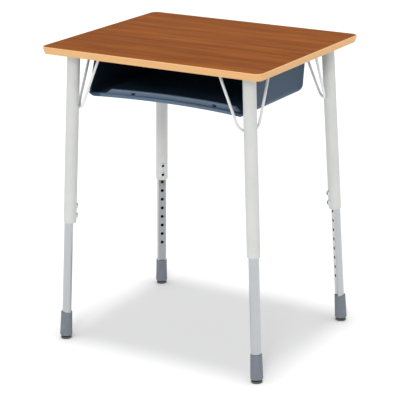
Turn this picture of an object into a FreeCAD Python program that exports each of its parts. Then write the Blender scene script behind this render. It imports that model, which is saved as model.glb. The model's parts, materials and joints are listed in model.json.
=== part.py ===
import FreeCAD, Part
import math
import os

from FreeCAD import Placement, Rotation, Vector

# A school desk with a fixed top and four splayed telescopic legs. Millimetres, floor at zero,
# X across the desk, the user sits on the minus Y side. The legs stand let out to the last hole.

# Desk top
WIDTH = 610.0
DEPTH = 508.0
HEIGHT = 762.0
LAMINATE_T = 1.2
CORE_T = 15.9
BACKER_T = 0.8
TOP_CORNER_R = 20.0
BAND_REACH = 2.8
BAND_NOSE_R = 2.4
BAND_SLOPE = 18.0
BAND_TOE_R = 1.2
BAND_JOINT = 0.4
SPLINE_T = 2.2
SPLINE_REACH = 8.0
SPLINE_BARB = 0.5
SPLINE_BARB_L = 3.6
SLOT_SPARE = 0.15

# Legs, given for the rear right one; the other three are its mirror images
LEG_TOP_X = 244.5
LEG_TOP_Y = 197.5
LEG_FOOT_X = 278.3
LEG_FOOT_Y = 223.8
INNER_ANGLE = 48.0
TUBE_R = 31.75 / 2
TUBE_WALL = 1.5
TUBE_END = 311.5
TUBE_END_ROUND = 1.0
PLATE_X = 72.0
PLATE_Y = 60.0
PLATE_T = 3.0
PLATE_CORNER_R = 9.0
PLATE_SCREW_INSET = 9.0
WELD_LEG = 3.2

# Sliding lower legs
INSERT_R = 25.4 / 2
INSERT_DEPTH = 20.6
INSERT_WALL = 1.5
INSERT_EDGE_R = 2.0
INSERT_START = 24.0
INSERT_END = 376.0
SLIDE_GAP = 0.3
HOLE_PITCH = 25.4
HOLE_COUNT = 10
HOLE_R = 4.4
TOP_HOLE = 354.0
ADJUST_SCREWS = 2
ADJUST_R = 3.0
ADJUST_HEAD_R = 6.6
ADJUST_HEAD_T = 3.6
ADJUST_KEY = 5.0
ADJUST_KEY_DEPTH = 2.2
NUT_BAR_W = 13.0
NUT_BAR_SPARE = 9.5
THREAD_FIT = 0.05
WALL_HOLE_SPARE = 0.25

# Boots and swivel glides
BOOT_START = 8.0
BOOT_END = 71.0
BOOT_R_LOW = 15.6
BOOT_R_HIGH = 14.25
BOOT_ROUND_LOW = 2.4
BOOT_ROUND_HIGH = 0.8
BOOT_CENTRE = -3.4
BALL_RISE = 13.0
BALL_R = 5.6
BALL_GAP = 0.3
BALL_MOUTH_R = 4.8
GLIDE_R = 13.8
GLIDE_RIM_T = 4.2
GLIDE_CROWN = 1.0
GLIDE_ROUND = 1.4
GLIDE_NECK_R = 3.2

# Brace rods, one bent rod for each leg
ROD_R = 3.25
ROD_AIM_Z = 531.0
ROD_REACH_X = 77.7
ROD_REACH_Y = 84.0
ROD_OUT_X = 5.0
ROD_OUT_Y = 7.0
ROD_TOP_DROP = 4.2
ROD_TOP_BEND = 12.0
ROD_TOE = 13.0
ROD_SEAT_GAP = 0.05
WELD_BEAD_R = 5.2
TAB_L = 27.0
TAB_W = 13.0
TAB_T = 3.0
TAB_NECK = 0.6
TAB_NECK_R = 2.0
TAB_END_R = 5.8
TAB_SCREW_INSET = 6.5

# Book box
BOX_HALF_LOW = 221.0
BOX_FRONT_LOW = -173.5
BOX_REAR_LOW = 129.0
BOX_BOTTOM = 634.0
BOX_DRAFT = 7.0
BOX_WALL = 3.0
BOX_CORNER_R = 26.0
BOX_FLOOR_R = 20.0
BOX_AHEAD = 60.0
BOX_RAKE_TOP_Y = -127.0
BOX_RAKE_LOW_Y = -171.0
BOX_RAKE_R = 8.0
FLANGE_W = 12.0
FLANGE_T = 3.0
FLANGE_END = 28.0
FLANGE_REAR_X = 130.0
LIP_HALF = 204.0
LIP_SAG = 23.0
LIP_H = 9.4
LIP_NOSE_R = 3.2
LIP_T = 6.6
LIP_LOW_R = 1.0
LIP_RUN_OUT = 9.0
GROOVE_R = 5.0
GROOVE_Z = 5.2
BAR_START = 20.5
BAR_T = 10.0
BAR_H = 15.0
BAR_ROUND = 3.5
BAR_HALF = 191.0
BAR_RAMP = 13.0
NOTCH_X = 115.0
NOTCH_W = 8.0
NOTCH_H = 5.0
NOTCH_DEPTH = 3.0

# Wood screws that hold plates, brace tabs and book box
SCREW_R = 2.0
SCREW_L = 16.0
SCREW_POINT = 4.0
SCREW_TIP_R = 0.25
SCREW_HEAD_R = 4.3
SCREW_HEAD_T = 2.6
SCREW_SLOT = 1.1
SCREW_SLOT_DEPTH = 1.3
PILOT_SPARE = 0.08
CLEAR_HOLE_R = 2.4

# Rounding of a screw head as a share of its thickness
HEAD_ROUND = 0.6

# Reach of cutting tools, and the slack used to pick out edges
FAR = 2000.0
PICK = 0.5
TINY = 1e-6

UNDERSIDE = HEIGHT - LAMINATE_T - CORE_T - BACKER_T
UNDERCUT = CORE_T * math.tan(math.radians(BAND_SLOPE))
EDGE_R = TOP_CORNER_R - BAND_REACH
PLATE_UNDER = UNDERSIDE - PLATE_T
UP = Vector(0, 0, 1)
INWARD = Vector(1, 0, 0)
QUADRANTS = {"front_left": (-1, -1), "front_right": (1, -1), "rear_left": (-1, 1), "rear_right": (1, 1)}

LEG_TOP = Vector(LEG_TOP_X, LEG_TOP_Y, UNDERSIDE)
LEG_FOOT = Vector(LEG_FOOT_X, LEG_FOOT_Y, 0)
LEG_UP = (LEG_TOP - LEG_FOOT).normalize()
INNER = Vector(-math.cos(math.radians(INNER_ANGLE)), -math.sin(math.radians(INNER_ANGLE)), 0)
LEG_FRAME = Placement(LEG_FOOT, Rotation(INNER, Vector(), LEG_UP, "ZXY"))

BORE_R = TUBE_R - TUBE_WALL
INSERT_CENTRE = -(BORE_R - INSERT_R - SLIDE_GAP)
INSERT_FLAT = INSERT_DEPTH - INSERT_R


def bevelled(points, radii):
    """Wire through points with each inner corner rounded to its radius."""
    edges = []
    start = points[0]
    for before, corner, after, radius in zip(points, points[1:], points[2:], radii):
        back = (before - corner).normalize()
        ahead = (after - corner).normalize()
        half = back.getAngle(ahead) / 2
        reach = radius / math.tan(half)
        middle = (back + ahead).normalize() * (radius / math.sin(half) - radius)
        first = corner + back * reach
        last = corner + ahead * reach
        if (first - start).Length > TINY:
            edges.append(Part.makeLine(start, first))
        edges.append(Part.Arc(first, corner + middle, last).toShape())
        start = last
    edges.append(Part.makeLine(start, points[-1]))
    return Part.Wire(edges)


def closed_face(points, radii):
    """Face with rounded corners; a radius of zero leaves a corner sharp."""
    edges = []
    ends = []
    count = len(points)
    for i, radius in enumerate(radii):
        corner = points[i]
        if not radius:
            ends.append((corner, corner))
            continue
        back = (points[i - 1] - corner).normalize()
        ahead = (points[(i + 1) % count] - corner).normalize()
        half = back.getAngle(ahead) / 2
        reach = radius / math.tan(half)
        middle = (back + ahead).normalize() * (radius / math.sin(half) - radius)
        ends.append((corner + back * reach, corner + ahead * reach))
        edges.append(Part.Arc(ends[i][0], corner + middle, ends[i][1]).toShape())
    for i in range(count):
        start = ends[i][1]
        stop = ends[(i + 1) % count][0]
        if (stop - start).Length > TINY:
            edges.append(Part.makeLine(start, stop))
    return Part.Face(Part.Wire(Part.__sortEdges__(edges)))


def round_rect(x0, x1, y0, y1, radius, z):
    """Horizontal face with four equal round corners."""
    corners = [Vector(x0, y0, z), Vector(x1, y0, z), Vector(x1, y1, z), Vector(x0, y1, z)]
    return closed_face(corners, [radius] * 4)


def top_outline(inset, z):
    """Outline of the desk top, less an inset inside the moulding's inner edge on all sides."""
    x = WIDTH / 2 - BAND_REACH - inset
    y = DEPTH / 2 - BAND_REACH - inset
    return round_rect(-x, x, -y, y, EDGE_R - inset, z)


def board(inset, z, thick):
    """Square edged plate with the desk top's outline, less an inset."""
    return top_outline(inset, z).extrude(UP * thick)


def quadrant(shape, signs):
    """Rear right shape mirrored into the asked quadrant."""
    if signs[0] < 0:
        shape = shape.mirror(Vector(), Vector(1, 0, 0))
    if signs[1] < 0:
        shape = shape.mirror(Vector(), Vector(0, 1, 0))
    return shape


def on_leg(shape):
    """Shape drawn along a leg's own axis, set where the rear right leg stands."""
    moved = shape.copy()
    moved.Placement = LEG_FRAME.multiply(moved.Placement)
    return moved


def axis_at(z):
    """Point of the rear right leg's axis at height z."""
    return LEG_FOOT + LEG_UP * (z / LEG_UP.z)


def cross_bar(radius, start, height, length):
    """Round bar that runs towards the leg's inner side, square to its axis."""
    return Part.makeCylinder(radius, length, Vector(start, 0, height), INWARD)


# Wood screws: where they go, and the holes that take them

def plate_screw_points():
    dx = PLATE_X / 2 - PLATE_SCREW_INSET
    dy = PLATE_Y / 2 - PLATE_SCREW_INSET
    return [Vector(LEG_TOP_X + i * dx, LEG_TOP_Y + j * dy, PLATE_UNDER) for i in (-1, 1) for j in (-1, 1)]


def rod_tops():
    """The two points where a brace rod turns flat under the top, with the way each end points."""
    z = UNDERSIDE - ROD_TOP_DROP
    leg = axis_at(z)
    along_x = leg + Vector(-ROD_REACH_X, ROD_OUT_X, 0)
    along_y = leg + Vector(ROD_OUT_Y, -ROD_REACH_Y, 0)
    return [(along_x, Vector(-1, 0, 0)), (along_y, Vector(0, -1, 0))]


def tab_screw_points():
    points = []
    for top, way in rod_tops():
        spot = top + way * (TAB_L - TAB_SCREW_INSET)
        points.append(Vector(spot.x, spot.y, UNDERSIDE - TAB_T))
    return points


def flange_screw_points():
    half = BOX_HALF_LOW + BOX_DRAFT + FLANGE_W / 2
    rear = BOX_REAR_LOW + BOX_DRAFT + FLANGE_W / 2
    first = BOX_RAKE_TOP_Y + FLANGE_END
    last = BOX_REAR_LOW - FLANGE_END
    z = UNDERSIDE - FLANGE_T
    sides = [Vector(s * half, y, z) for s in (-1, 1) for y in (first, (first + last) / 2, last)]
    return sides + [Vector(s * FLANGE_REAR_X, rear, z) for s in (-1, 1)]


def wood_screw(seat):
    """Pan head screw driven straight up, its head seated at the given point."""
    tip = seat + UP * SCREW_L
    shank = Part.makeCylinder(SCREW_R, SCREW_L - SCREW_POINT, seat)
    point = Part.makeCone(SCREW_R, SCREW_TIP_R, SCREW_POINT, tip - UP * SCREW_POINT)
    head = Part.makeCylinder(SCREW_HEAD_R, SCREW_HEAD_T, seat - UP * SCREW_HEAD_T)
    low = [e for e in head.Edges if len(e.Vertexes) == 1 and e.BoundBox.ZMax < seat.z - SCREW_HEAD_T / 2]
    head = head.makeFillet(SCREW_HEAD_T * HEAD_ROUND, low)
    base = seat - UP * SCREW_HEAD_T
    for a, b in ((SCREW_SLOT, SCREW_HEAD_R), (SCREW_HEAD_R, SCREW_SLOT)):
        head = head.cut(Part.makeBox(a, b, SCREW_SLOT_DEPTH, base - Vector(a / 2, b / 2, 0)))
    return head.fuse([shank, point]).removeSplitter()


def all_wood_screws():
    """Seats of each group of wood screws by node name."""

    def on_all_legs(points):
        return [Vector(p.x * i, p.y * j, p.z) for i, j in QUADRANTS.values() for p in points]

    return {
        "leg_plate_screws": on_all_legs(plate_screw_points()),
        "brace_tab_screws": on_all_legs(tab_screw_points()),
        "book_box_screws": flange_screw_points(),
    }


def drilled(shape, groups, radius):
    """Shape with a hole where each wood screw of the groups passes."""
    holes = [Part.makeCylinder(radius, SCREW_L + 2 * SCREW_R, p - UP * SCREW_R) for g in groups for p in g]
    return shape.cut(Part.makeCompound(holes))


# Desk top

def band_profile(x):
    """Section of the T moulding in the XZ plane, its stem turned to minus X; the laminate ends at x."""
    top = HEIGHT
    low = UNDERSIDE
    slope = math.radians(BAND_SLOPE)
    nose = Vector(x + BAND_REACH - BAND_NOSE_R, 0, top - BAND_NOSE_R)

    def rim(angle):
        return nose + Vector(math.cos(angle), 0, math.sin(angle)) * BAND_NOSE_R

    under = rim(-slope)
    toe = under - Vector(math.tan(slope), 0, 1) * (under.z - low)
    core_low = low + BACKER_T
    core_top = top - LAMINATE_T
    middle = (core_top + core_low) / 2
    half = SPLINE_T / 2
    root = half * math.tan(slope)
    edge = x - UNDERCUT / 2
    tip = edge - SPLINE_REACH
    barb = tip + SPLINE_BARB_L
    stem = [(barb, half), (barb, half + SPLINE_BARB), (tip, half / 2)]
    below = [Vector(a, 0, middle - b) for a, b in [(edge - root, half)] + stem]
    above = [Vector(a, 0, middle + b) for a, b in stem[::-1] + [(edge + root, half)]]
    foot = [Vector(x - UNDERCUT, 0, z) for z in (low, core_low)]
    head = [Vector(x, 0, z) for z in (core_top, top)]
    inner = foot + below + above + head
    outer = bevelled([under, toe, inner[0]], [BAND_TOE_R]).Edges
    walls = [Part.makeLine(a, b) for a, b in zip(inner, inner[1:])]
    crown = Part.makeLine(inner[-1], rim(math.pi / 2))
    bow = Part.Arc(rim(math.pi / 2), rim(math.pi / 4 - slope / 2), under).toShape()
    return Part.Face(Part.Wire(Part.__sortEdges__(outer + walls + [crown, bow])))


def edge_band():
    """T moulding run round all four sides, its two ends butted at the middle of the rear edge."""
    x = WIDTH / 2 - BAND_REACH
    y = DEPTH / 2 - BAND_REACH
    runs = []
    for turn, (reach, span) in enumerate([(x, y), (y, x), (x, y), (y, x)]):
        profile = band_profile(reach)
        profile.translate(Vector(0, -(span - EDGE_R), 0))
        straight = profile.extrude(Vector(0, 2 * (span - EDGE_R), 0))
        profile.translate(Vector(0, 2 * (span - EDGE_R), 0))
        corner = profile.revolve(Vector(reach - EDGE_R, span - EDGE_R, 0), UP, 90)
        for piece in (straight, corner):
            piece.rotate(Vector(), UP, 90 * turn)
            runs.append(piece)
    joint = Part.makeBox(BAND_JOINT, DEPTH, HEIGHT, Vector(-BAND_JOINT / 2, 0, 0))
    return runs[0].fuse(runs[1:]).removeSplitter().cut(joint)


def desktop_core(screws):
    """Board with an undercut edge, pilot holes and a slot all round for the moulding's stem."""
    low = UNDERSIDE + BACKER_T
    faces = [top_outline(UNDERCUT, low), top_outline(0, low + CORE_T)]
    core = Part.makeLoft([f.OuterWire for f in faces], True, True)
    wide = SPLINE_T + 2 * (SPLINE_BARB + SLOT_SPARE)
    z = low + (CORE_T - wide) / 2
    slot = board(0, z, wide).cut(board(UNDERCUT / 2 + SPLINE_REACH + SLOT_SPARE, z, wide))
    return drilled(core.cut(slot), screws.values(), SCREW_R + PILOT_SPARE)


def backer_sheet(screws):
    sheet = board(UNDERCUT, UNDERSIDE, BACKER_T)
    return drilled(sheet, screws.values(), SCREW_R + PILOT_SPARE)


def laminate_sheet():
    return board(0, HEIGHT - LAMINATE_T, LAMINATE_T)


# Legs

def adjust_heights():
    return [TOP_HOLE - HOLE_PITCH * i for i in range(ADJUST_SCREWS)]


def upper_tube():
    """Round tube, its foot rounded outside and its head cut level under the leg plate."""
    long = UNDERSIDE + TUBE_R - TUBE_END
    tube = Part.makeCylinder(TUBE_R, long, Vector(0, 0, TUBE_END))
    foot = [e for e in tube.Edges if e.BoundBox.ZMax < TUBE_END + PICK]
    tube = tube.makeFillet(TUBE_END_ROUND, foot)
    tube = tube.cut(Part.makeCylinder(BORE_R, long, Vector(0, 0, TUBE_END)))
    for s in adjust_heights():
        tube = tube.cut(cross_bar(ADJUST_R + WALL_HOLE_SPARE, 0, s, 2 * TUBE_R))
    above = Part.makeBox(FAR, FAR, FAR, Vector(-FAR / 2, -FAR / 2, PLATE_UNDER))
    return on_leg(tube).cut(above)


def leg_top_plate():
    """Plate welded on the tube's head, with the weld's sloping collar."""
    x = PLATE_X / 2
    y = PLATE_Y / 2
    face = round_rect(-x, x, -y, y, PLATE_CORNER_R, PLATE_UNDER)
    face.translate(Vector(LEG_TOP_X, LEG_TOP_Y, 0))
    plate = drilled(face.extrude(UP * PLATE_T), [plate_screw_points()], CLEAR_HOLE_R)
    foot = Vector(0, 0, PLATE_UNDER / LEG_UP.z - 2 * WELD_LEG)
    collar = Part.makeCone(TUBE_R - WELD_LEG, TUBE_R + 2 * WELD_LEG, 3 * WELD_LEG, foot)
    collar = collar.cut(Part.makeCylinder(TUBE_R, FAR))
    above = Part.makeBox(FAR, FAR, FAR, Vector(-FAR / 2, -FAR / 2, PLATE_UNDER))
    return plate.fuse(on_leg(collar).cut(above)).removeSplitter()


def nut_bar():
    """Threaded bar inside the tube, its back curved to the bore, its face just clear of the flat."""
    near = INSERT_CENTRE + INSERT_FLAT + SLIDE_GAP
    low = adjust_heights()[-1] - NUT_BAR_SPARE
    high = adjust_heights()[0] + NUT_BAR_SPARE
    bar = Part.makeBox(BORE_R, NUT_BAR_W, high - low, Vector(near, -NUT_BAR_W / 2, low))
    bar = bar.common(Part.makeCylinder(BORE_R, FAR))
    for s in adjust_heights():
        bar = bar.cut(cross_bar(ADJUST_R, 0, s, 2 * TUBE_R))
    return on_leg(bar)


def hexagon(centre, across):
    """Six sided face square to the leg's inward direction, sized across its flats."""
    reach = across / math.sqrt(3)
    angles = [math.radians(60 * i) for i in range(7)]
    corners = [centre + Vector(0, math.cos(a), math.sin(a)) * reach for a in angles]
    return Part.Face(Part.makePolygon(corners))


def adjusting_screws():
    """Button head screws through tube and nut bar, stopping just short of the lower leg's flat."""
    tip = INSERT_CENTRE + INSERT_FLAT + SLIDE_GAP
    crest = TUBE_R + ADJUST_HEAD_T
    seat = math.sqrt(TUBE_R ** 2 - ADJUST_HEAD_R ** 2)
    solids = []
    for s in adjust_heights():
        shank = cross_bar(ADJUST_R - THREAD_FIT, tip, s, TUBE_R - tip + ADJUST_HEAD_T / 2)
        head = cross_bar(ADJUST_HEAD_R, seat, s, crest - seat)
        rim = [e for e in head.Edges if e.BoundBox.XMin > crest - PICK]
        head = head.makeFillet(ADJUST_HEAD_T * HEAD_ROUND, rim).cut(Part.makeCylinder(TUBE_R, FAR))
        key = hexagon(Vector(crest, 0, s), ADJUST_KEY).extrude(INWARD * -ADJUST_KEY_DEPTH)
        solids.append(head.fuse(shank).removeSplitter().cut(key))
    return on_leg(Part.makeCompound(solids))


def d_bar(shrink, start, end):
    """Bar of the lower leg's D section: a circle with one flat, set off to the tube's outer side."""
    radius = INSERT_R - shrink
    flat = INSERT_FLAT - shrink
    rise = math.sqrt(radius ** 2 - flat ** 2)
    centre = Vector(INSERT_CENTRE, 0, start)
    high = centre + Vector(flat, rise, 0)
    low = centre + Vector(flat, -rise, 0)
    bow = Part.Arc(high, centre - Vector(radius, 0, 0), low).toShape()
    bar = Part.Face(Part.Wire([bow, Part.makeLine(low, high)])).extrude(UP * (end - start))
    upright = [e for e in bar.Edges if e.BoundBox.ZLength > end - start - PICK]
    corners = [e for e in upright if e.BoundBox.XMax > centre.x]
    return bar.makeFillet(INSERT_EDGE_R - shrink / 2, corners)


def leg_insert():
    """D shaped lower leg with the row of adjusting holes in its flat."""
    leg = d_bar(0, INSERT_START, INSERT_END).cut(d_bar(INSERT_WALL, INSERT_START, INSERT_END))
    start = INSERT_CENTRE + INSERT_FLAT / 2
    holes = [cross_bar(HOLE_R, start, TOP_HOLE - HOLE_PITCH * i, INSERT_FLAT) for i in range(HOLE_COUNT)]
    return on_leg(leg.cut(Part.makeCompound(holes)))


def boot_axis(s):
    return Vector(BOOT_CENTRE, 0, s)


def foot_boot():
    """Moulded boot: a tapered round cap with a D socket above and a ball socket below."""
    outline = [boot_axis(BOOT_START), boot_axis(BOOT_START) + Vector(BOOT_R_LOW, 0, 0),
               boot_axis(BOOT_END) + Vector(BOOT_R_HIGH, 0, 0), boot_axis(BOOT_END)]
    face = closed_face(outline, [0, BOOT_ROUND_LOW, BOOT_ROUND_HIGH, 0])
    boot = face.revolve(boot_axis(0), UP, 360).cut(d_bar(0, INSERT_START, BOOT_END))
    ball = Part.makeSphere(BALL_R + BALL_GAP, boot_axis(BALL_RISE))
    mouth = Part.makeCylinder(BALL_MOUTH_R, BALL_RISE - BOOT_START, boot_axis(BOOT_START))
    return on_leg(boot.cut(ball.fuse(mouth)))


def ball_centre():
    return LEG_FRAME.multVec(boot_axis(BALL_RISE))


def swivel_glide():
    """Flat foot disc with a crowned top, a neck and the ball that snaps into the boot."""
    ball = ball_centre()
    foot = Vector(ball.x, ball.y, 0)
    rim = Vector(GLIDE_R, 0, 0)
    crown = UP * (GLIDE_RIM_T + GLIDE_CROWN)
    outline = [foot, foot + rim, foot + rim + UP * GLIDE_RIM_T, foot + Vector(GLIDE_NECK_R, 0, 0) + crown,
               foot + Vector(GLIDE_NECK_R, 0, ball.z), foot + UP * ball.z]
    disc = closed_face(outline, [0, GLIDE_ROUND / 2, GLIDE_ROUND, 0, 0, 0]).revolve(foot, UP, 360)
    return disc.fuse(Part.makeSphere(BALL_R, ball)).removeSplitter()


# Braces

def brace_tab(top, way):
    """Flattened rod end that lies against the underside."""
    side = way.cross(UP) * (TAB_W / 2)
    near = Vector(top.x, top.y, UNDERSIDE - TAB_T) - way * ROD_R
    far = near + way * (TAB_L + ROD_R)
    outline = [near - side * TAB_NECK, far - side, far + side, near + side * TAB_NECK]
    tab = closed_face(outline, [TAB_NECK_R, TAB_END_R, TAB_END_R, TAB_NECK_R])
    return drilled(tab.extrude(UP * TAB_T), [tab_screw_points()], CLEAR_HOLE_R)


def brace_rod():
    """Rod bent to a V: both ends flat under the top, the bow of the V welded to the leg's inner side."""
    (top_x, way_x), (top_y, way_y) = rod_tops()
    aim = axis_at(ROD_AIM_Z)
    arm_x = (top_x - aim).normalize()
    arm_y = (top_y - aim).normalize()
    half = arm_x.getAngle(arm_y) / 2
    middle = (arm_x + arm_y).normalize()
    lean = middle.getAngle(LEG_UP)
    seat = TUBE_R + ROD_R + ROD_SEAT_GAP
    bow = seat / (math.sin(lean) * (1 / math.sin(half) - 1))
    path = bevelled([top_x + way_x * ROD_TOE, top_x, aim, top_y, top_y + way_y * ROD_TOE],
                    [ROD_TOP_BEND, bow, ROD_TOP_BEND])
    section = Part.Wire(Part.makeCircle(ROD_R, top_x + way_x * ROD_TOE, way_x))
    rod = path.makePipeShell([section], True, False)
    low = aim + middle * (seat / math.sin(lean))
    spot = low - (low - axis_at(low.z)).normalize() * ROD_R
    leg = on_leg(Part.makeCylinder(TUBE_R, HEIGHT))
    bead = Part.makeSphere(WELD_BEAD_R, spot).cut(leg)
    return rod.fuse([brace_tab(top_x, way_x), brace_tab(top_y, way_y), bead]).removeSplitter()


# Book box

def box_block(shrink):
    """Drafted block reaching past the open front; shrunk by the wall it is the hollow."""
    half = BOX_HALF_LOW - shrink
    front = BOX_FRONT_LOW - BOX_AHEAD
    rear = BOX_REAR_LOW - shrink
    radius = BOX_CORNER_R - shrink
    low = round_rect(-half, half, front, rear, radius, BOX_BOTTOM + shrink)
    grow = BOX_DRAFT
    high = round_rect(-half - grow, half + grow, front - grow, rear + grow, radius + grow / 2, UNDERSIDE)
    block = Part.makeLoft([low.OuterWire, high.OuterWire], True, True)
    floor = [e for e in block.Edges if e.BoundBox.ZMax < BOX_BOTTOM + shrink + PICK]
    return block.makeFillet(BOX_FLOOR_R - shrink, floor)


def lip_axis():
    """Centre of the shallow arc that the front lip follows, and its radius at the lip's nose."""
    radius = (LIP_HALF ** 2 + LIP_SAG ** 2) / (2 * LIP_SAG)
    return Vector(0, BOX_FRONT_LOW + LIP_SAG - radius, 0), radius


def lip_run(points, radii):
    """Section given as distance behind the nose and height over the floor, turned along the lip's arc."""
    centre, radius = lip_axis()
    spread = math.degrees(math.asin(BOX_HALF_LOW / radius)) + 1
    face = closed_face([centre + Vector(0, radius + s, BOX_BOTTOM + z) for s, z in points], radii)
    face.rotate(centre, UP, -spread)
    return face.revolve(centre, UP, 2 * spread)


def lip_bar(near, far, low, high, rounding):
    """Lip run of oblong section, with its two upper edges rounded."""
    return lip_run([(near, low), (far, low), (far, high), (near, high)], [0, 0, rounding, rounding])


def ramped(solid, half, low, high):
    """Part of a lip run between two sloping ends."""
    ramp = BAR_RAMP * (high - low) / (BAR_H - GROOVE_Z)
    ends = [(-half, low), (half, low), (half - ramp, high), (ramp - half, high)]
    face = Part.Face(Part.makePolygon([Vector(x, -FAR / 2, BOX_BOTTOM + z) for x, z in ends + ends[:1]]))
    return solid.common(face.extrude(Vector(0, FAR, 0)))


def book_box_lip(block):
    """Rolled front lip: nose, pencil groove and a raised bar with ramped ends, hollow underneath."""
    bar_end = BAR_START + BAR_T
    rear = bar_end + LIP_RUN_OUT
    sunk = BOX_WALL / 2
    base = lip_run([(0, 0), (rear, 0), (rear, BOX_WALL), (BAR_START, GROOVE_Z), (LIP_T, GROOVE_Z),
                    (LIP_T, LIP_H), (0, LIP_H)],
                   [LIP_LOW_R, 0, 0, GROOVE_R, GROOVE_R / 2, LIP_NOSE_R, LIP_NOSE_R])
    bar = ramped(lip_bar(BAR_START, bar_end, sunk, BAR_H, BAR_ROUND), BAR_HALF, sunk, BAR_H)
    channel = lip_bar(BOX_WALL, BAR_START - BOX_WALL, -sunk, GROOVE_Z - BOX_WALL, 0)
    hollow_top = BAR_H - BOX_WALL
    hollow = ramped(lip_bar(BAR_START + BOX_WALL, bar_end - BOX_WALL, -sunk, hollow_top, 0),
                    BAR_HALF - BOX_WALL, -sunk, hollow_top)
    notch = lip_bar(BAR_START - sunk, BAR_START + NOTCH_DEPTH - sunk, GROOVE_Z, GROOVE_Z + NOTCH_H, 0)
    starts = [Vector(s * NOTCH_X - NOTCH_W / 2, -FAR / 2, 0) for s in (-1, 1)]
    cuts = [channel, hollow] + [notch.common(Part.makeBox(NOTCH_W, FAR, FAR, at)) for at in starts]
    return base.fuse(bar).cut(Part.makeCompound(cuts)).common(block)


def front_rake():
    """Tool that opens the front: level with the lip below, leaning back to the top of the sides."""
    x = -FAR / 2
    low = BOX_BOTTOM + LIP_H
    high = UNDERSIDE + PICK
    corners = [Vector(x, -FAR / 2, low), Vector(x, BOX_RAKE_LOW_Y, low), Vector(x, BOX_RAKE_TOP_Y, high),
               Vector(x, -FAR / 2, high)]
    return closed_face(corners, [0, BOX_RAKE_R, 0, 0]).extrude(Vector(FAR, 0, 0))


def book_box(screws):
    """Open fronted moulding: drafted shell with raked sides, rolled lip and a flange to screw through."""
    block = box_block(0)
    hollow = box_block(BOX_WALL)
    rake = front_rake()
    centre, radius = lip_axis()
    ahead = Part.makeBox(2 * LIP_HALF, FAR, FAR, Vector(-LIP_HALF, -FAR / 2, 0))
    ahead = ahead.common(Part.makeCylinder(radius + BAR_START, FAR, centre))
    front = Part.makeCylinder(radius, FAR, centre)
    shell = block.cut(hollow.fuse([rake, ahead, front]))
    half = BOX_HALF_LOW + BOX_DRAFT + FLANGE_W
    rear = BOX_REAR_LOW + BOX_DRAFT + FLANGE_W
    flat = round_rect(-half, half, -FAR, rear, BOX_CORNER_R + FLANGE_W, UNDERSIDE - FLANGE_T)
    before = Part.makeBox(FAR, FAR, FAR, Vector(-FAR / 2, BOX_RAKE_TOP_Y - FAR, 0))
    flange = flat.extrude(UP * FLANGE_T).cut(hollow.fuse(before))
    flange = drilled(flange, [screws["book_box_screws"]], CLEAR_HOLE_R)
    return shell.fuse([book_box_lip(block), flange]).removeSplitter()


def main():
    os.makedirs("parts", exist_ok=True)
    screws = all_wood_screws()
    nodes = {
        "desktop_core": desktop_core(screws),
        "laminate_sheet": laminate_sheet(),
        "backer_sheet": backer_sheet(screws),
        "edge_band": edge_band(),
        "book_box": book_box(screws),
    }
    for name, points in screws.items():
        nodes[name] = Part.makeCompound([wood_screw(p) for p in points])
    fixed = [upper_tube, leg_top_plate, nut_bar, adjusting_screws, brace_rod]
    moving = [leg_insert, foot_boot, swivel_glide]
    for piece in fixed + moving:
        shape = piece()
        for corner, signs in QUADRANTS.items():
            nodes[f"{piece.__name__}_{corner}"] = quadrant(shape, signs)
    for name, shape in nodes.items():
        shape.exportStep(f"parts/{name}.step")


main()
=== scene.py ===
"""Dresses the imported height-adjustable desk: finishes, studio light and camera."""

import json
import logging
import math
from dataclasses import dataclass
from enum import Enum
from typing import Any

import bmesh
import bpy
from mathutils import Matrix, Vector

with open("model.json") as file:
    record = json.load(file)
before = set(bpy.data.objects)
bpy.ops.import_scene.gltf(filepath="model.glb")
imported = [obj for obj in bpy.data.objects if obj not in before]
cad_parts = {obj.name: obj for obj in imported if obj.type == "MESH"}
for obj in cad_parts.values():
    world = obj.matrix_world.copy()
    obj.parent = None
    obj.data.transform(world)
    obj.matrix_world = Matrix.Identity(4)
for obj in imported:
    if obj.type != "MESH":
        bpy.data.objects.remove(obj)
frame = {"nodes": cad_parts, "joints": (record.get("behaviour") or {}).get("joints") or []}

Source = bpy.types.Node | bpy.types.NodeSocket
Outputs = bpy.types.NodeOutputs
Links = dict[str, Source]
Values = dict[str, Any]
Span = tuple[float, float]
Size = tuple[float, float, float]

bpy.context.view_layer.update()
MM = 0.001
SENSOR_MM = 36.0
PHOTO_SIDE_PX = 400
UNIT: Span = (0.0, 1.0)
# The values that noise of a few octaves mostly keeps to
NOISE_SPAN: Span = (0.3, 0.7)
LOG = logging.getLogger("desk")


class Corner(Enum):
    """The four legs, spelled as their nodes spell them."""

    FRONT_LEFT = "front_left"
    FRONT_RIGHT = "front_right"
    REAR_LEFT = "rear_left"
    REAR_RIGHT = "rear_right"


def linear(hex_colour: str) -> tuple[float, float, float, float]:
    """Turns an sRGB hex colour to linear light.

    Args:
        hex_colour: six hex digits with a leading hash.

    Returns:
        Red, green, blue and alpha as Blender's colour sockets take them.
    """
    parts = [int(hex_colour[i:i + 2], 16) / 255 for i in (1, 3, 5)]
    r, g, b = (c / 12.92 if c <= 0.04045 else ((c + 0.055) / 1.055) ** 2.4 for c in parts)
    return r, g, b, 1.0


def metres(lengths_mm: tuple[float, ...]) -> tuple[float, ...]:
    """Lengths in millimetres, as metres."""
    return tuple(length * MM for length in lengths_mm)


def per_mm(size_mm: Size) -> tuple[float, ...]:
    """Mapping scale that makes one unit of a pattern this many millimetres long each way."""
    return tuple(1 / length for length in metres(size_mm))


def ranges(given: tuple[float, ...], wanted: Span = UNIT) -> Values:
    """Inputs of a Map Range node.

    Args:
        given: the two incoming values at the ends of the range.
        wanted: what the node makes of those two.

    Returns:
        The node's four values by input.
    """
    return {"From Min": given[0], "From Max": given[1], "To Min": wanted[0], "To Max": wanted[1]}


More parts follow.
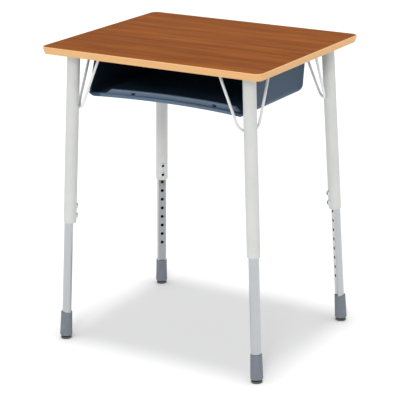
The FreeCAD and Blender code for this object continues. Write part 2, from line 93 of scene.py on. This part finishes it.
def towards(azimuth: float, elevation: float) -> Vector:
    """Direction from the desk to something round it.

    Args:
        azimuth: degrees round from the user's side, towards the right.
        elevation: degrees above the horizon.

    Returns:
        The direction, of length one.
    """
    a, e = math.radians(azimuth), math.radians(elevation)
    return Vector((math.sin(a) * math.cos(e), -math.cos(a) * math.cos(e), math.sin(e)))


class Bench:
    """The node tree of a material or of the world, while a finish or a light is mixed on it."""

    def __init__(self, tree: bpy.types.NodeTree, shader: str) -> None:
        """Takes a new tree, which holds only that shader and its output."""
        self.tree = tree
        self.shader = tree.nodes[shader]

    def add(self, kind: str, links: Links | None = None, values: Values | None = None,
            ramp: list[tuple[float, str]] | None = None, **settings: Any) -> bpy.types.Node:
        """Adds one node with its settings and links.

        Args:
            kind: Blender's name for the node type.
            links: what feeds each linked input, by the input's identifier or name.
            values: the value of each other input, by its identifier or name.
            ramp: stops of a colour ramp, as place and sRGB hex.
            settings: the node's own properties.

        Returns:
            The node.
        """
        node = self.tree.nodes.new(kind)
        for key, value in settings.items():
            setattr(node, key, value)
        self.feed(node, links or {}, values or {})
        if ramp:
            stops = node.color_ramp.elements
            while len(stops) < len(ramp):
                stops.new(1.0)
            for stop, (place, colour) in zip(stops, ramp):
                stop.position = place
                stop.color = linear(colour)
        return node

    def feed(self, node: bpy.types.Node, links: Links, values: Values) -> None:
        """Sets and links inputs of a node.

        Args:
            node: the node.
            links: what feeds each linked input, by the input's identifier or name.
            values: the value of each other input, by its identifier or name.
        """
        for key, value in values.items():
            self.socket(node, key).default_value = value
        for key, source in links.items():
            self.tree.links.new(self.output(source), self.socket(node, key))

    def shade(self, links: Links, values: Values) -> None:
        """Sets and links inputs of the tree's shader."""
        self.feed(self.shader, links, values)

    @staticmethod
    def socket(node: bpy.types.Node, key: str) -> bpy.types.NodeSocket:
        """The input with that identifier, or else that name."""
        exact = [s for s in node.inputs if s.identifier == key]
        return exact[0] if exact else node.inputs[key]

    @staticmethod
    def output(source: Source) -> bpy.types.NodeSocket:
        """A node's first live output, or the output itself where one is named.

        Args:
            source: a node, or one of a node's outputs.

        Returns:
            The output.
        """
        if isinstance(source, bpy.types.NodeSocket):
            return source
        return next(s for s in source.outputs if s.enabled)


@dataclass(frozen=True)
class Finish:
    """A finish that mixes one material, named for the real material and how it was made."""

    name: str

    def mix(self, bench: Bench) -> None:
        """Adds the nodes of this finish."""
        raise NotImplementedError

    def material(self) -> bpy.types.Material:
        """Finds the material, or mixes it the first time that it is asked for.

        Returns:
            The material.
        """
        ready = bpy.data.materials.get(self.name)
        if ready is None:
            ready = bpy.data.materials.new(self.name)
            ready.use_nodes = True
            self.mix(Bench(ready.node_tree, "Principled BSDF"))
        return ready

    def coat(self, node: str) -> None:
        """Puts this finish on one CAD node, on its object's own material slots.

        Args:
            node: the node's name.
        """
        piece = frame["nodes"][node]
        if not piece.material_slots:
            piece.data.materials.append(self.material())
        for slot in piece.material_slots:
            slot.material = self.material()
        LOG.info("%s is %s", node, self.name)


@dataclass(frozen=True)
class OakLaminate(Finish):
    """High-pressure laminate printed as plain-sawn oak: long soft bands, short dark pores, a satin sheet.

    Real pores are about 0.3 mm wide. They are drawn coarser, so that they show.
    """

    light: str = "#9A5617"
    middle: str = "#864607"
    dark: str = "#723703"
    pore: str = "#4E2812"
    tone_stops: Size = (0.36, 0.5, 0.64)
    wander_mm: Size = (260.0, 160.0, 160.0)
    wander_reach_mm: float = 14.0
    wander_detail: float = 1.0
    band_mm: Size = (420.0, 26.0, 26.0)
    band_detail: float = 2.0
    streak_mm: Size = (130.0, 6.0, 6.0)
    streak_detail: float = 4.0
    streak_share: float = 0.55
    pore_mm: Size = (34.0, 1.5, 1.5)
    pore_detail: float = 2.0
    pore_span: Span = (0.60, 0.72)
    pore_ink: Span = (0.0, 0.75)
    breakup: float = 0.6
    roughness: Span = (0.42, 0.56)
    press_mm: float = 0.15
    press_strength: float = 0.25
    ior: float = 1.5
    specular: float = 0.03

    def mix(self, bench: Bench) -> None:
        """Runs the grain along X. It wanders a little, so the bands taper and swell as in sawn oak.

        Args:
            bench: the material's node tree.
        """
        at = bench.add("ShaderNodeTexCoord").outputs["Object"]
        drift = bench.add("ShaderNodeMapping", {"Vector": at}, {"Scale": per_mm(self.wander_mm)})
        sway = bench.add("ShaderNodeTexNoise", {"Vector": drift},
                         {"Scale": 1.0, "Detail": self.wander_detail})
        shove = bench.add("ShaderNodeVectorMath", {"Vector": sway.outputs["Color"]},
                          {"Vector_001": (0.0, self.wander_reach_mm * MM, 0.0)}, operation="MULTIPLY")
        grain = bench.add("ShaderNodeVectorMath", {"Vector": at, "Vector_001": shove}, operation="ADD")
        layers = []
        for size_mm, detail in ((self.band_mm, self.band_detail), (self.streak_mm, self.streak_detail),
                                (self.pore_mm, self.pore_detail)):
            place = bench.add("ShaderNodeMapping", {"Vector": grain}, {"Scale": per_mm(size_mm)})
            layers.append(bench.add("ShaderNodeTexNoise", {"Vector": place},
                                    {"Scale": 1.0, "Detail": detail, "Roughness": self.breakup}))
        bands, streaks, pores = layers
        figure = bench.add("ShaderNodeMix", {"A_Float": bands, "B_Float": streaks},
                           {"Factor_Float": self.streak_share})
        tone = bench.add("ShaderNodeValToRGB", {"Fac": figure},
                         ramp=list(zip(self.tone_stops, (self.dark, self.middle, self.light))))
        cut = bench.add("ShaderNodeMapRange", {"Value": pores}, ranges(self.pore_span, self.pore_ink))
        inked = bench.add("ShaderNodeMix", {"Factor_Float": cut, "A_Color": tone},
                          {"B_Color": linear(self.pore)}, data_type="RGBA")
        gloss = bench.add("ShaderNodeMapRange", {"Value": streaks}, ranges(UNIT, self.roughness))
        press = bench.add("ShaderNodeBump", {"Height": pores},
                          {"Strength": self.press_strength, "Distance": self.press_mm * MM}, invert=True)
        bench.shade({"Base Color": inked, "Roughness": gloss, "Normal": press},
                    {"IOR": self.ior, "Specular IOR Level": self.specular})


@dataclass(frozen=True)
class Grained(Finish):
    """Plastic, paper or paint: one tone, mottled, with a fine grain from its mould, rollers or baking.

    The grain is drawn coarser than it really is, so that it shows.
    """

    low: str
    high: str
    mottle_mm: Size
    grain_mm: float
    grain_depth_mm: float
    roughness: Span
    ior: float
    specular: float
    mottle_detail: float = 5.0
    mottle_breakup: float = 0.65
    tone_stops: Span = (0.35, 0.65)
    grain_strength: float = 0.6

    def tone(self, bench: Bench, at: Source, mottle: Source) -> bpy.types.Node:
        """The node that gives the colour, from the place on the piece and the mottle there."""
        return bench.add("ShaderNodeValToRGB", {"Fac": mottle},
                         ramp=list(zip(self.tone_stops, (self.low, self.high))))

    def mix(self, bench: Bench) -> None:
        """Lets the mottle move the colour and the gloss a little, and presses the grain into the skin.

        Args:
            bench: the material's node tree.
        """
        at = bench.add("ShaderNodeTexCoord").outputs["Object"]
        place = bench.add("ShaderNodeMapping", {"Vector": at}, {"Scale": per_mm(self.mottle_mm)})
        mottle = bench.add("ShaderNodeTexNoise", {"Vector": place},
                           {"Scale": 1.0, "Detail": self.mottle_detail, "Roughness": self.mottle_breakup})
        gloss = bench.add("ShaderNodeMapRange", {"Value": mottle}, ranges(NOISE_SPAN, self.roughness))
        grit = bench.add("ShaderNodeTexNoise", {"Vector": at}, {"Scale": 1 / (self.grain_mm * MM)})
        press = bench.add("ShaderNodeBump", {"Height": grit},
                          {"Strength": self.grain_strength, "Distance": self.grain_depth_mm * MM})
        bench.shade({"Base Color": self.tone(bench, at, mottle), "Roughness": gloss, "Normal": press},
                    {"IOR": self.ior, "Specular IOR Level": self.specular})


@dataclass(frozen=True)
class PaintedLightBox(Grained):
    """The moulded box: grained plastic, paler along the lip, which is a painted highlight on its upward
    faces.

    The inner faces of its side walls are deeper, nearly black, which is painted shade. The painted highlight
    runs in strips along the nose, the pencil groove and the raised bar. Each stop of them is a distance
    behind the lip's bowed nose, in millimetres, and a grey for how much highlight is painted there.
    """

    # Painted highlight: this paler tone on the lip's upward faces stands in for light
    lip_highlight: str = "#8499B1"
    # Painted shade: this deeper tone on the inner faces of the side walls stands in for shade
    inner: str = "#16222F"
    nose_mm: float = -150.5
    lip_half_mm: float = 204.0
    lip_sag_mm: float = 23.0
    lip_deep_mm: float = 40.0
    lip_highlight_strips: tuple[tuple[float, str], ...] = (
        (0.0, "#A0A0A0"), (5.0, "#A0A0A0"), (8.0, "#202020"), (18.5, "#202020"), (20.0, "#FFFFFF"),
        (31.0, "#FFFFFF"), (38.0, "#000000"))
    lip_highlight_ends_mm: Span = (194.0, 186.0)
    lip_highlight_facing: Span = (-0.6, -0.3)
    notch_mm: float = 115.0
    notch_half_mm: float = 5.5
    notch_top_mm: float = 644.5
    notch_from_mm: float = 15.0
    inner_from_mm: Span = (2.0, 16.0)
    # The place aside times the share of the normal that points back to the middle
    inward_mm: Span = (-30.0, -130.0)

    def tone(self, bench: Bench, at: Source, mottle: Source) -> bpy.types.Node:
        """Lays the painted inner shade and then the painted lip highlight over the plastic's own tone.

        Args:
            bench: the material's node tree.
            at: the place on the piece.
            mottle: the mottle there.

        Returns:
            The node that gives the colour.
        """
        place = bench.add("ShaderNodeSeparateXYZ", {"Vector": at}).outputs
        normal = bench.add("ShaderNodeNewGeometry").outputs["Normal"]
        facing = bench.add("ShaderNodeSeparateXYZ", {"Vector": normal}).outputs
        square = bench.add("ShaderNodeMath", {"Value": place["X"], "Value_001": place["X"]},
                           operation="MULTIPLY")
        bow = self.lip_sag_mm * MM / (self.lip_half_mm * MM) ** 2
        unbowed = bench.add("ShaderNodeMath", {"Value": square, "Value_002": place["Y"]}, {"Value_001": bow},
                            operation="MULTIPLY_ADD")
        behind = bench.add("ShaderNodeMapRange", {"Value": unbowed},
                           ranges(metres((self.nose_mm, self.nose_mm + self.lip_deep_mm))))
        skin = bench.add("ShaderNodeMix", {"Factor_Float": self.inside(bench, place, facing, behind),
                                           "A_Color": super().tone(bench, at, mottle)},
                         {"B_Color": linear(self.inner)}, data_type="RGBA")
        return bench.add("ShaderNodeMix", {"Factor_Float": self.lip_highlight_share(bench, place, facing, behind),
                                           "A_Color": skin},
                         {"B_Color": linear(self.lip_highlight)}, data_type="RGBA")

    def inside(self, bench: Bench, place: Outputs, facing: Outputs, behind: Source) -> bpy.types.Node:
        """Finds the inner faces of the side walls.

        Args:
            bench: the material's node tree.
            place: outputs with the place on the piece, by axis.
            facing: outputs with the normal there, by axis.
            behind: how far behind the lip's nose, as a share of the lip.

        Returns:
            The node that gives the share of the inner tone, which is painted shade.
        """
        across = bench.add("ShaderNodeMath", {"Value": place["X"], "Value_001": facing["X"]},
                           operation="MULTIPLY")
        inward = bench.add("ShaderNodeMapRange", {"Value": across}, ranges(metres(self.inward_mm)))
        begun = bench.add("ShaderNodeMapRange", {"Value": behind},
                          ranges(tuple(start / self.lip_deep_mm for start in self.inner_from_mm)))
        return bench.add("ShaderNodeMath", {"Value": inward, "Value_001": begun}, operation="MULTIPLY")

    def lip_highlight_share(self, bench: Bench, place: Outputs, facing: Outputs, behind: Source) -> bpy.types.Node:
        """Finds the painted highlight: lip nose and bar, not its underside, its ends or the two notches.

        Args:
            bench: the material's node tree.
            place: outputs with the place on the piece, by axis.
            facing: outputs with the normal there, by axis.
            behind: how far behind the lip's nose, as a share of the lip.

        Returns:
            The node that gives the share of the painted highlight.
        """
        strips = bench.add("ShaderNodeValToRGB", {"Fac": behind},
                           ramp=[(deep / self.lip_deep_mm, share) for deep, share in self.lip_highlight_strips])
        aside = bench.add("ShaderNodeMath", {"Value": place["X"]}, operation="ABSOLUTE")
        between = bench.add("ShaderNodeMapRange", {"Value": aside}, ranges(metres(self.lip_highlight_ends_mm)))
        above = bench.add("ShaderNodeMapRange", {"Value": facing["Z"]}, ranges(self.lip_highlight_facing))
        along = bench.add("ShaderNodeMath", {"Value": strips, "Value_001": between}, operation="MULTIPLY")
        lit_share = bench.add("ShaderNodeMath", {"Value": along, "Value_001": above}, operation="MULTIPLY")
        notch = bench.add("ShaderNodeMath", {"Value": aside},
                          {"Value_001": self.notch_mm * MM, "Value_002": self.notch_half_mm * MM},
                          operation="COMPARE")
        below = bench.add("ShaderNodeMath", {"Value": place["Z"]}, {"Value_001": self.notch_top_mm * MM},
                          operation="LESS_THAN")
        beyond = bench.add("ShaderNodeMath", {"Value": behind},
                           {"Value_001": self.notch_from_mm / self.lip_deep_mm}, operation="GREATER_THAN")
        low = bench.add("ShaderNodeMath", {"Value": notch, "Value_001": below}, operation="MULTIPLY")
        cut = bench.add("ShaderNodeMath", {"Value": low, "Value_001": beyond}, operation="MULTIPLY")
        return bench.add("ShaderNodeMath", {"Value": lit_share, "Value_001": cut}, operation="SUBTRACT",
                         use_clamp=True)


@dataclass(frozen=True)
class Metal(Finish):
    """Bare or plated metal: one tone of reflection, with the lines of drawing or tumbling in its gloss.

    The lines are drawn coarser than they really are, so that they show.
    """

    low: str
    high: str
    line_mm: Size
    roughness: Span
    line_depth_mm: float
    line_detail: float = 4.0
    line_breakup: float = 0.6
    line_strength: float = 0.5

    def tone(self, bench: Bench, at: Source, lines: Source) -> bpy.types.Node:
        """The node that gives the reflection's colour, from the place on the piece and the lines there."""
        return bench.add("ShaderNodeValToRGB", {"Fac": lines},
                         ramp=list(zip(NOISE_SPAN, (self.low, self.high))))

    def mix(self, bench: Bench) -> None:
        """Lets the lines move the colour and the gloss together, as polishing does.

        Args:
            bench: the material's node tree.
        """
        at = bench.add("ShaderNodeTexCoord").outputs["Object"]
        place = bench.add("ShaderNodeMapping", {"Vector": at}, {"Scale": per_mm(self.line_mm)})
        lines = bench.add("ShaderNodeTexNoise", {"Vector": place},
                          {"Scale": 1.0, "Detail": self.line_detail, "Roughness": self.line_breakup})
        gloss = bench.add("ShaderNodeMapRange", {"Value": lines}, ranges(NOISE_SPAN, self.roughness))
        press = bench.add("ShaderNodeBump", {"Height": lines},
                          {"Strength": self.line_strength, "Distance": self.line_depth_mm * MM})
        bench.shade({"Base Color": self.tone(bench, at, lines), "Roughness": gloss, "Normal": press},
                    {"Metallic": 1.0})


@dataclass(frozen=True)
class SocketHead(Metal):
    """Plated screws with a key socket, darkened a little past its rim: painted shade in the socket.

    The screws stand square to their leg. Sizes are those of the rear right leg: where its axis meets the
    floor, which way it turns its inner side, and how far up the axis the upper of its two screws is.
    """

    # Painted shade: this near-black disc stands in for the shade deep in each key socket
    socket_shade: str = "#060606"
    socket_shade_radius_mm: Span = (4.1, 3.6)
    slide: str = "rear_right_leg_slide"
    leg_foot_mm: Size = (278.3, 223.8, 0.0)
    inner_angle: float = 48.0
    screw_mm: float = 354.0
    pitch_mm: float = 25.4

    def tone(self, bench: Bench, at: Source, lines: Source) -> bpy.types.Node:
        """Paints shade in a disc round each screw's axis. The legs are mirrored, so all fold onto the rear
        right.

        Args:
            bench: the material's node tree.
            at: the place on the piece.
            lines: the lines there.

        Returns:
            The node that gives the colour.
        """
        turn = math.radians(self.inner_angle)
        along = Vector(next(joint["axis"] for joint in frame["joints"] if joint["name"] == self.slide))
        aside = along.cross(Vector((math.cos(turn), math.sin(turn), 0.0))).normalized()
        folded = bench.add("ShaderNodeVectorMath", {"Vector": at}, operation="ABSOLUTE")
        reach = bench.add("ShaderNodeVectorMath", {"Vector": folded},
                          {"Vector_001": metres(self.leg_foot_mm)}, operation="SUBTRACT")
        off = bench.add("ShaderNodeVectorMath", {"Vector": reach}, {"Vector_001": aside},
                        operation="DOT_PRODUCT")
        up = bench.add("ShaderNodeVectorMath", {"Vector": reach}, {"Vector_001": along},
                       operation="DOT_PRODUCT")
        upper, step = self.screw_mm * MM, self.pitch_mm * MM
        wrapped = bench.add("ShaderNodeMath", {"Value": up},
                            {"Value_001": upper + step / 2, "Value_002": upper - step / 2}, operation="WRAP")
        rise = bench.add("ShaderNodeMath", {"Value": wrapped}, {"Value_001": upper}, operation="SUBTRACT")
        spot = bench.add("ShaderNodeCombineXYZ", {"X": off, "Y": rise})
        away = bench.add("ShaderNodeVectorMath", {"Vector": spot}, operation="LENGTH")
        dark = bench.add("ShaderNodeMapRange", {"Value": away}, ranges(metres(self.socket_shade_radius_mm)))
        return bench.add("ShaderNodeMix", {"Factor_Float": dark, "A_Color": super().tone(bench, at, lines)},
                         {"B_Color": linear(self.socket_shade)}, data_type="RGBA")


@dataclass(frozen=True)
class ChipBoard(Finish):
    """Three-layer particleboard, sawn: pale and brown flakes of wood pressed with resin."""

    pale: str = "#CDAA78"
    brown: str = "#9A7548"
    tone_stops: Span = (0.1, 0.9)
    chip_mm: Size = (5.0, 3.0, 1.4)
    chip_depth_mm: float = 0.2
    chip_strength: float = 0.5
    roughness: float = 0.85
    ior: float = 1.5

    def mix(self, bench: Bench) -> None:
        """Gives each flake its own tone, and makes it stand a little proud or low.

        Args:
            bench: the material's node tree.
        """
        at = bench.add("ShaderNodeTexCoord").outputs["Object"]
        place = bench.add("ShaderNodeMapping", {"Vector": at}, {"Scale": per_mm(self.chip_mm)})
        chips = bench.add("ShaderNodeTexVoronoi", {"Vector": place}, {"Scale": 1.0})
        grey = bench.add("ShaderNodeRGBToBW", {"Color": chips.outputs["Color"]})
        tone = bench.add("ShaderNodeValToRGB", {"Fac": grey},
                         ramp=list(zip(self.tone_stops, (self.brown, self.pale))))
        press = bench.add("ShaderNodeBump", {"Height": grey},
                          {"Strength": self.chip_strength, "Distance": self.chip_depth_mm * MM})
        bench.shade({"Base Color": tone, "Normal": press}, {"Roughness": self.roughness, "IOR": self.ior})


# Printed laminate: satin, so the print shows with little veil even at a low angle.
OAK = OakLaminate(name="oak_print_laminate")
# Extruded vinyl moulding in a maple colour: even, faintly streaked along its run, soft sheen on the nose.
MAPLE_VINYL = Grained(
    name="extruded_maple_vinyl", low="#D8A771", high="#E2B480", mottle_mm=(160.0, 160.0, 1.6),
    grain_mm=0.8, grain_depth_mm=0.02, roughness=(0.34, 0.46), ior=1.54, specular=0.08)
# Kraft and phenolic backer: flat brown paper with its fibres showing.
BACKER = Grained(
    name="phenolic_backer_paper", low="#5E432C", high="#6E5138", mottle_mm=(9.0, 3.0, 3.0),
    grain_mm=0.6, grain_depth_mm=0.04, roughness=(0.7, 0.85), ior=1.5, specular=0.25)
# Pressed particleboard: the raw core, matt and flecked, hidden once the sheets and the moulding are on.
BOARD = ChipBoard(name="pressed_particleboard")
# Injection-moulded navy polypropylene, dark, dull from a textured mould; painted lip highlight and inner
# shade.
NAVY = PaintedLightBox(
    name="moulded_navy_polypropylene", low="#2C445B", high="#304961", mottle_mm=(14.0, 14.0, 50.0),
    grain_mm=0.9, grain_depth_mm=0.05, roughness=(0.42, 0.52), ior=1.49, specular=0.26)
# Silver-grey powder coat, baked on steel: pale, even, with an orange peel that softens its highlights.
POWDER = Grained(
    name="baked_silver_powder_coat", low="#C8CAC7", high="#CECFCD", mottle_mm=(60.0, 60.0, 60.0),
    grain_mm=1.6, grain_depth_mm=0.05, roughness=(0.36, 0.44), ior=1.5, specular=0.3)
# The same coat on the thin rods, drawn paler and glossier, because the highlight covers most of a thin rod.
ROD_POWDER = Grained(
    name="baked_silver_powder_coat_rod", low="#DADCDB", high="#E0E2E1", mottle_mm=(60.0, 60.0, 60.0),
    grain_mm=1.6, grain_depth_mm=0.03, roughness=(0.24, 0.32), ior=1.5, specular=0.5)
# Bright chrome over drawn steel tube: cool grey mirror with faint lines along the tube.
CHROME = Metal(
    name="bright_chrome_plate", low="#B2B4B7", high="#BDBFC1", line_mm=(1.2, 1.2, 160.0),
    roughness=(0.07, 0.14), line_depth_mm=0.004)
# Moulded vinyl boot in blue-grey: dull, grained, a little scuffed.
BOOT = Grained(
    name="moulded_grey_vinyl", low="#6C727A", high="#747A84", mottle_mm=(14.0, 14.0, 24.0),
    grain_mm=0.9, grain_depth_mm=0.06, roughness=(0.5, 0.62), ior=1.5, specular=0.4)
# Moulded nylon glide in dark warm grey: waxy, polished by the floor.
GLIDE = Grained(
    name="moulded_dark_nylon", low="#524F4C", high="#635F5B", mottle_mm=(8.0, 8.0, 8.0),
    grain_mm=0.7, grain_depth_mm=0.03, roughness=(0.3, 0.42), ior=1.53, specular=0.5)
# Zinc-plated steel: barrel-tumbled, so dull and slightly blue.
ZINC = Metal(
    name="barrel_plated_zinc", low="#B9BBBD", high="#C8CACB", line_mm=(2.0, 2.0, 2.0),
    roughness=(0.25, 0.4), line_depth_mm=0.01)
# The same plating on the adjusting screws, paler and duller than on the wood screws; sockets painted shade.
ZINC_SOCKET = SocketHead(
    name="barrel_plated_zinc_socket", low="#D4D6D6", high="#DEE0E0", line_mm=(2.0, 2.0, 2.0),
    roughness=(0.4, 0.5), line_depth_mm=0.01)
# Rolled studio paper: matt and nearly white, so that shadows on it stay soft and clean.
PAPER = Grained(
    name="rolled_studio_paper", low="#F6F6F6", high="#F6F6F6", mottle_mm=(400.0, 400.0, 400.0),
    grain_mm=2.0, grain_depth_mm=0.02, roughness=(0.8, 0.9), ior=1.45, specular=0.1)


@dataclass(frozen=True)
class WorkTop:
    """The top: board, printed sheet, backer and the moulding round the edge."""

    core: Finish = BOARD
    sheet: Finish = OAK
    backer: Finish = BACKER
    edge: Finish = MAPLE_VINYL

    def dress(self) -> None:
        """Gives the four layers their finishes."""
        self.core.coat("desktop_core")
        self.sheet.coat("laminate_sheet")
        self.backer.coat("backer_sheet")
        self.edge.coat("edge_band")


@dataclass(frozen=True)
class BookBox:
    """The moulded box under the top."""

    shell: Finish = NAVY

    def dress(self) -> None:
        """Gives the box its finish."""
        self.shell.coat("book_box")


@dataclass(frozen=True)
class WoodScrews:
    """The wood screws in the underside of the top, in groups by what they hold."""

    plating: Finish = ZINC
    groups: tuple[str, ...] = ("book_box_screws", "leg_plate_screws", "brace_tab_screws")

    def dress(self) -> None:
        """Gives every group the same plating."""
        for group in self.groups:
            self.plating.coat(group)


@dataclass(frozen=True)
class Leg:
    """One telescopic leg: fixed tube, plate and brace above; sliding tube, boot and glide below."""

    corner: Corner
    pieces: tuple[tuple[str, Finish], ...] = (
        ("upper_tube", POWDER), ("leg_top_plate", POWDER), ("brace_rod", ROD_POWDER),
        ("nut_bar", ZINC), ("adjusting_screws", ZINC_SOCKET),
        ("leg_insert", CHROME), ("foot_boot", BOOT), ("swivel_glide", GLIDE))

    def dress(self) -> None:
        """Gives the leg's pieces their finishes."""
        for piece, finish in self.pieces:
            finish.coat(f"{piece}_{self.corner.value}")


@dataclass(frozen=True)
class Lamp:
    """One soft light, far away: where it hangs and how wide it looks from the desk, in degrees."""

    name: str
    azimuth: float
    elevation: float
    power: float
    spread: float

    def hang(self) -> None:
        """Hangs the light so that it shines on the desk."""
        lamp = bpy.data.lights.new(self.name, "SUN")
        lamp.energy = self.power
        lamp.angle = math.radians(self.spread)
        holder = bpy.data.objects.new(self.name, lamp)
        holder.rotation_mode = "QUATERNION"
        holder.rotation_quaternion = towards(self.azimuth, self.elevation).to_track_quat("Z", "Y")
        bpy.context.scene.collection.objects.link(holder)


@dataclass(frozen=True)
class Studio:
    """Pale floor, lit ceiling, two soft lights and the camera.

    The camera's place is in metres from the desk's origin: across and above in its picture, and back from it.
    Its lens and the middle of its view are in the photograph's pixels.
    """

    floor: Finish = PAPER
    floor_radius: float = 30.0
    floor_sides: int = 96
    sky_tone: str = "#FFFFFF"
    sky: Span = (0.60, 0.88)
    lamps: tuple[Lamp, ...] = (
        Lamp("overhead_softbox", azimuth=20.0, elevation=88.0, power=1.10, spread=9.0),
        Lamp("front_softbox", azimuth=22.0, elevation=29.0, power=0.85, spread=16.0))
    azimuth: float = 29.305
    elevation: float = 17.781
    across: float = 0.13694
    above: float = 0.34264
    distance: float = 4.0582
    focal_px: float = 1559.8
    middle_px: Span = (258.12, 196.35)

    def build(self) -> None:
        """Lays the floor, lights the scene and sets the camera."""
        self.lay_floor()
        self.light()
        self.shoot()

    def lay_floor(self) -> None:
        """Makes the floor as one wide round sheet."""
        shape = bmesh.new()
        bmesh.ops.create_circle(shape, cap_ends=True, segments=self.floor_sides, radius=self.floor_radius)
        mesh = bpy.data.meshes.new("studio_floor")
        shape.to_mesh(mesh)
        shape.free()
        mesh.materials.append(self.floor.material())
        floor = bpy.data.objects.new("studio_floor", mesh)
        bpy.context.scene.collection.objects.link(floor)

    def light(self) -> None:
        """Makes a surround that brightens overhead like a lit ceiling, then hangs the lights."""
        world = bpy.data.worlds.new("lit_ceiling")
        world.use_nodes = True
        bench = Bench(world.node_tree, "Background")
        way = bench.add("ShaderNodeTexCoord").outputs["Generated"]
        height = bench.add("ShaderNodeSeparateXYZ", {"Vector": way}).outputs["Z"]
        glow = bench.add("ShaderNodeMapRange", {"Value": height}, ranges(UNIT, self.sky))
        bench.shade({"Strength": glow}, {"Color": linear(self.sky_tone)})
        bpy.context.scene.world = world
        for lamp in self.lamps:
            lamp.hang()
        bpy.context.scene.view_settings.view_transform = "Standard"

    def shoot(self) -> None:
        """Sets the camera where the photograph was taken from."""
        data = bpy.data.cameras.new("camera")
        data.sensor_width = SENSOR_MM
        data.lens = self.focal_px / PHOTO_SIDE_PX * SENSOR_MM
        data.shift_x = 0.5 - self.middle_px[0] / PHOTO_SIDE_PX
        data.shift_y = self.middle_px[1] / PHOTO_SIDE_PX - 0.5
        back = towards(self.azimuth, self.elevation)
        turn = math.radians(self.azimuth)
        right = Vector((math.cos(turn), math.sin(turn), 0.0))
        up = back.cross(right)
        place = right * self.across + up * self.above + back * self.distance
        camera = bpy.data.objects.new("camera", data)
        camera.matrix_world = Matrix.Translation(place) @ Matrix((right, up, back)).transposed().to_4x4()
        bpy.context.scene.collection.objects.link(camera)
        bpy.context.scene.camera = camera


def main() -> None:
    """Dresses each sub-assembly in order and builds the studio."""
    logging.basicConfig(level=logging.INFO, format="%(name)s: %(message)s")
    WorkTop().dress()
    BookBox().dress()
    WoodScrews().dress()
    for corner in Corner:
        Leg(corner).dress()
    Studio().build()


if __name__ == "__main__":
    main()
